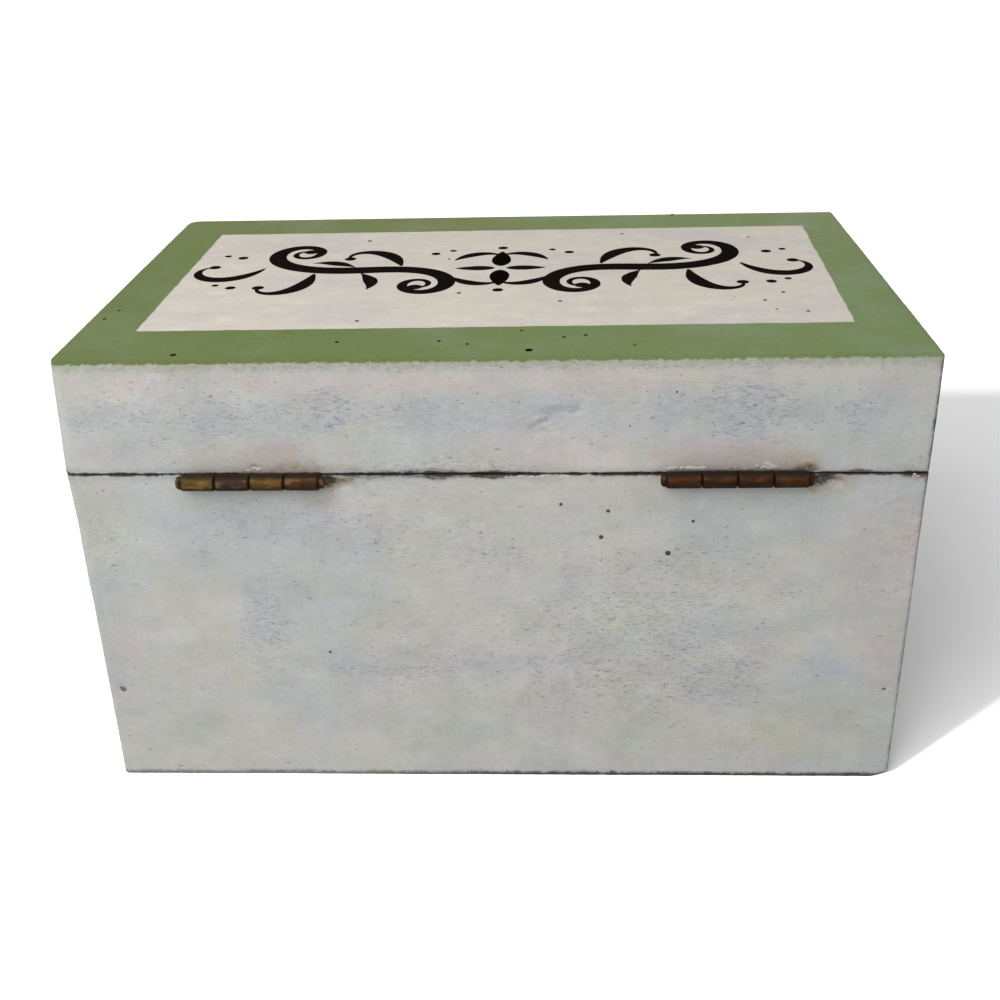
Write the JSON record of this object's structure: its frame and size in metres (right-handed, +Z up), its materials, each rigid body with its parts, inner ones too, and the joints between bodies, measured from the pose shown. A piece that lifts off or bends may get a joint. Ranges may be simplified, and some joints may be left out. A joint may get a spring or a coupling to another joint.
{
  "type": "recipe box",
  "caption": "Hinged wooden recipe box with a lift-up lid on small brass butt hinges, distressed off-white paint and a green-bordered top with a painted scroll.",
  "frame": {"origin": "middle of the underside of the box body, between the outer faces of its boards", "axes": "+Z up, front faces -Y, the hinged back faces +Y, +X to the right seen from the front"},
  "size_m": [0.165, 0.109, 0.0952],
  "materials": {
    "painted_boards": "pine, outside brushed with distressed off-white matt paint, inside bare",
    "painted_top_board": "pine, sage green border around a pale grey-pink panel with a black painted scroll, matt",
    "bottom_board": "bare aged pine",
    "hinge_brass": "tarnished brown brass",
    "hinge_pin": "tarnished, ends rubbed brighter",
    "hinge_screws": "dull",
    "steel_brads": "dull grey steel"
  },
  "bodies": {
    "base": {"base_front": "painted_boards", "base_back": "painted_boards", "base_left": "painted_boards", "base_right": "painted_boards", "base_bottom": "bottom_board", "base_corner_brads": "steel_brads", "bottom_brads": "steel_brads", "left_hinge_base_leaf": "hinge_brass", "left_hinge_pin": "hinge_pin", "left_hinge_base_screws": "hinge_screws", "right_hinge_base_leaf": "hinge_brass", "right_hinge_pin": "hinge_pin", "right_hinge_base_screws": "hinge_screws"},
    "lid": {"lid_front": "painted_boards", "lid_back": "painted_boards", "lid_left": "painted_boards", "lid_right": "painted_boards", "lid_top": "painted_top_board", "lid_corner_brads": "steel_brads", "left_hinge_lid_leaf": "hinge_brass", "left_hinge_lid_screws": "hinge_screws", "right_hinge_lid_leaf": "hinge_brass", "right_hinge_lid_screws": "hinge_screws"}
  },
  "joints": [
    {"name": "lid_hinge", "type": "hinge", "parent": "base", "child": "lid", "pos_m": [0, 0.05465, 0.0712], "axis": [-1, 0, 0], "range_deg": [0, 180]}
  ]
}
